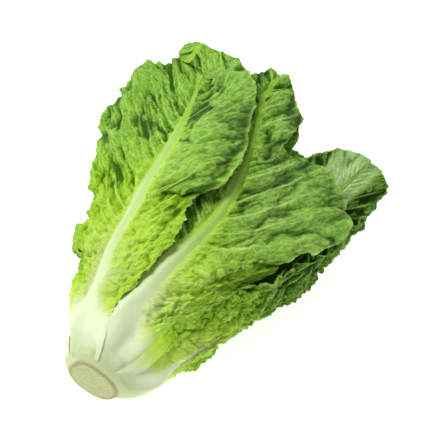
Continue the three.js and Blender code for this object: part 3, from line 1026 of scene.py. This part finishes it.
def stemMaterial():
    material, bench = newMaterial("stem")
    place = bench.node("ShaderNodeTexCoord", {}, {}, out="Object")
    fromRim = bench.node("ShaderNodeAttribute", {"attribute_name": "fromRim"}, out="Fac")
    station = bench.node("ShaderNodeAttribute", {"attribute_name": "station"}, out="Fac")
    blotch = bench.node("ShaderNodeTexNoise", {}, {"Vector": place, "Scale": 160.0, "Detail": 4.0})
    fleck = bench.node("ShaderNodeTexNoise", {}, {"Vector": place, "Scale": 900.0, "Detail": 2.0})
    finish = {name: fromScreen(*stemFinish[name]) for name in ("side", "upper", "cut", "dry", "rim")}
    uneven = fromRim + (blotch - 0.5) * 3.0
    cut = bench.mixed(uneven.between(*stemFinish["rimWidth"]), finish["rim"], finish["cut"])
    cut = bench.mixed((fleck - 0.3).between(0.0, 0.4) * 0.5, cut, finish["dry"], "MULTIPLY")
    cut = bench.mixed((blotch - 0.5).between(0.0, 0.3) * 0.4, cut, finish["side"])
    # painted shade: darker near the cut, lighter towards the leaves' feet
    side = bench.mixed(station.between(*stemFinish["upperFrom"]), finish["side"], finish["upper"])
    colour = bench.mixed(station.between(*stemFinish["cutEnds"]), cut, side)
    height = fleck + blotch * 2.0
    bump = bench.node("ShaderNodeBump", {}, {"Strength": 0.5, "Distance": 0.0007, "Height": height})
    shader = bench.node("ShaderNodeBsdfPrincipled", {}, {
        "Base Color": colour, "Roughness": stemFinish["roughness"], "Normal": bump,
        "Specular IOR Level": stemFinish["gloss"],
        "Subsurface Weight": 0.3, "Subsurface Radius": (1.0, 0.9, 0.5), "Subsurface Scale": 0.003,
    })
    bench.node("ShaderNodeOutputMaterial", {}, {"Surface": shader}, out=None)
    return material


# The head.
leafSkin = leafMaterial()
tree = puckerTree()
for rank, leaf in leaves.items():
    source = sheetObject(leaf)
    values = {**pucker, **ownPucker.get(rank, {}), "Finish": leafSkin}
    piece = grown(source, tree, values, f"leafSkin{rank:02d}")
    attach(piece, "root")
    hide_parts(f"leaf_{rank:02d}")
print("leaves:", len(leaves))

stem = {
    "rounds": 180,
    "cutRings": 12,
    "stationStep": 0.8,
    "rimRound": 0.8,
    "cutRadius": 19.0,
    "shoulder": 4.0,  # how far from the cut the stem takes up the leaves' shape
    "below": [[0, -0.8], [6, -0.8], [12, -0.2], [20, 1.0], [30, 3], [60, 3]],
    "smoothing": [[0, 12], [8, 7], [20, 3]],  # degrees either way round the stem
    "smoothingShares": {-1.0: 0.15, -0.5: 0.2, 0.0: 0.3, 0.5: 0.2, 1.0: 0.15},
    "outerLeaves": 8,  # only these leaves' feet reach its surface
    "tip": 2.0,
}


def stemRadiusAt(s, phi):
    # the stem's flesh closes the room between the leaves' feet
    def feetAt(angle):
        reach = curveAt(head["stemRadius"], s)
        for rank in range(1, stem["outerLeaves"] + 1):
            leaf = leaves[rank]
            q, b = onLeaf(leaf, s, angle)
            rho, step = leafRadii(leaf, q, b, s, angle)
            within = 1 - smoothStep(np.abs(b) - halfWidth(leaf, q, b), -3, 0)
            begun = smoothStep(s, leaf["foot"] - 6, leaf["foot"])
            reach = np.maximum(reach, (rho + step) * within * begun)
        return reach

    spread = curveAt(stem["smoothing"], s)
    shares = stem["smoothingShares"].items()
    feet = sum(share * feetAt((phi + spread * shift) % 360) for shift, share in shares)
    feet = feet - curveAt(stem["below"], s)
    return stem["cutRadius"] + (feet - stem["cutRadius"]) * smoothStep(s, -2, stem["shoulder"])


def stemMesh():
    count = stem["rounds"]
    turn = np.linspace(0, 360, count, endpoint=False)
    up = np.arange(stem["rimRound"], head["stemLength"], stem["stationStep"])
    s, phi = np.meshgrid(up, turn, indexing="ij")
    side = np.stack([s, phi, stemRadiusAt(s, phi)])
    rim = side[:, :1] * 1.0
    rounds = []
    for angle in (0.25, 0.6, 1.0):
        ring = rim.copy()
        ring[0] = stem["rimRound"] * (1 - math.sin(angle * math.pi / 2))
        ring[2] = rim[2] - stem["rimRound"] * (1 - math.cos(angle * math.pi / 2))
        rounds.append(ring)
    edge = rounds[-1]
    for share in np.linspace(1, 0, stem["cutRings"] + 1)[1:-1]:
        ring = edge.copy()
        ring[2] = edge[2] * share
        rounds.append(ring)
    s, phi, rho = np.concatenate([*rounds[::-1], side], 1)  # from the middle of the cut upwards
    ends = np.array([[0.0], [head["stemLength"] + stem["tip"]]])
    tips = place(ends, np.zeros((2, 1)), np.zeros((2, 1))).reshape(2, 3)
    points = np.concatenate([tips[:1], place(s, phi, rho).reshape(-1, 3), tips[1:]])

    def numbered(i):
        return [1 + i * count + j for j in range(count)]

    first, last = numbered(0), numbered(len(s) - 1)
    faces = [(0, first[(j + 1) % count], first[j]) for j in range(count)]
    faces += [(len(points) - 1, last[j], last[(j + 1) % count]) for j in range(count)]
    for i in range(len(s) - 1):
        low, high = numbered(i), numbered(i + 1)
        faces += [(low[j], low[(j + 1) % count], high[(j + 1) % count], high[j]) for j in range(count)]
    mesh = bpy.data.meshes.new("stemSkin")
    mesh.from_pydata((points * millimetre + np.array(headOrigin)).tolist(), [], faces)
    mesh.shade_smooth()
    addAttribute(mesh, "station", np.concatenate([[0.0], s.ravel(), ends[1]]))
    inward = np.concatenate([[20.0], (np.repeat(edge[2], len(s), 0) - rho).ravel(), [0.0]])
    addAttribute(mesh, "fromRim", inward)
    mesh.materials.append(stemMaterial())
    return mesh


stemPiece = newObject("stemSkin", stemMesh())
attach(stemPiece, "root")
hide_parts("stem")
print("stem done")


# Camera, floor and light.
studio = {
    "azimuth": 32.0,
    "elevation": 59.0,
    "distance": 2.0,
    "perPixel": 0.0007,
    "cutAt": (92.0, 382.0),
    "pictureSide": 447,
    "keyStrength": 19.0,
    "keySize": 0.75,
    "fill": 0.43,
    "keyFrom": (-0.4, 0.65, 0.6),  # shares to the right, up and towards the camera
    "keyDistance": 1.6,
    "floor": (250, 250, 250),
    "floorGlow": 0.75,
    "floorHalf": 6.0,
    "floorDrop": 0.0002,
}


def addCamera():
    turn, rise = math.radians(studio["azimuth"]), math.radians(studio["elevation"])
    back = Vector((math.sin(turn) * math.cos(rise), -math.cos(turn) * math.cos(rise), math.sin(rise)))
    right = Vector((math.cos(turn), math.sin(turn), 0.0))
    up = back.cross(right)
    cut = headOrigin + Vector((0.0, 0.0, head["axisHeight"][0][1] * millimetre))
    spot = cut + back * studio["distance"]
    middle = studio["pictureSide"] / 2
    offset = (middle - studio["cutAt"][0], studio["cutAt"][1] - middle)
    aim = cut + (right * offset[0] + up * offset[1]) * studio["perPixel"]
    away = (spot - aim).normalized()
    right = (right - away * right.dot(away)).normalized()
    up = away.cross(right)
    camera = newObject("camera", bpy.data.cameras.new("camera"))
    seen = studio["perPixel"] * studio["pictureSide"]
    camera.data.lens = camera.data.sensor_width * studio["distance"] / seen
    camera.data.clip_start = 0.05
    camera.matrix_world = Matrix.Translation(spot) @ Matrix((right, up, away)).transposed().to_4x4()
    bpy.context.scene.camera = camera
    return right, up, back, aim


def addStudio():
    right, up, back, aim = addCamera()
    floor = newObject("floor", bpy.data.meshes.new("floor"))
    half, under = studio["floorHalf"], -studio["floorDrop"]
    corners = [(-half, -half, under), (half, -half, under), (half, half, under), (-half, half, under)]
    floor.data.from_pydata(corners, [], [(0, 1, 2, 3)])
    material = bpy.data.materials.new("floor")
    material.use_nodes = True
    shader = material.node_tree.nodes["Principled BSDF"]
    shader.inputs["Base Color"].default_value = fromScreen(*studio["floor"])
    shader.inputs["Roughness"].default_value = 0.9
    shader.inputs["Emission Color"].default_value = (1, 1, 1, 1)
    shader.inputs["Emission Strength"].default_value = studio["floorGlow"]
    floor.data.materials.append(material)

    key = newObject("key", bpy.data.lights.new("key", "AREA"))
    key.data.size = studio["keySize"]
    key.data.energy = studio["keyStrength"]
    sideways, upward, backward = studio["keyFrom"]
    direction = (sideways * right + upward * up + backward * back).normalized()
    key.location = aim + direction * studio["keyDistance"]
    key.rotation_mode = "QUATERNION"
    key.rotation_quaternion = direction.to_track_quat("Z", "Y")

    world = bpy.data.worlds.new("studio")
    world.use_nodes = True
    world.node_tree.nodes["Background"].inputs["Color"].default_value = (1, 1, 1, 1)
    world.node_tree.nodes["Background"].inputs["Strength"].default_value = studio["fill"]
    bpy.context.scene.world = world
    bpy.context.scene.view_settings.view_transform = "Standard"


addStudio()
print("studio done")
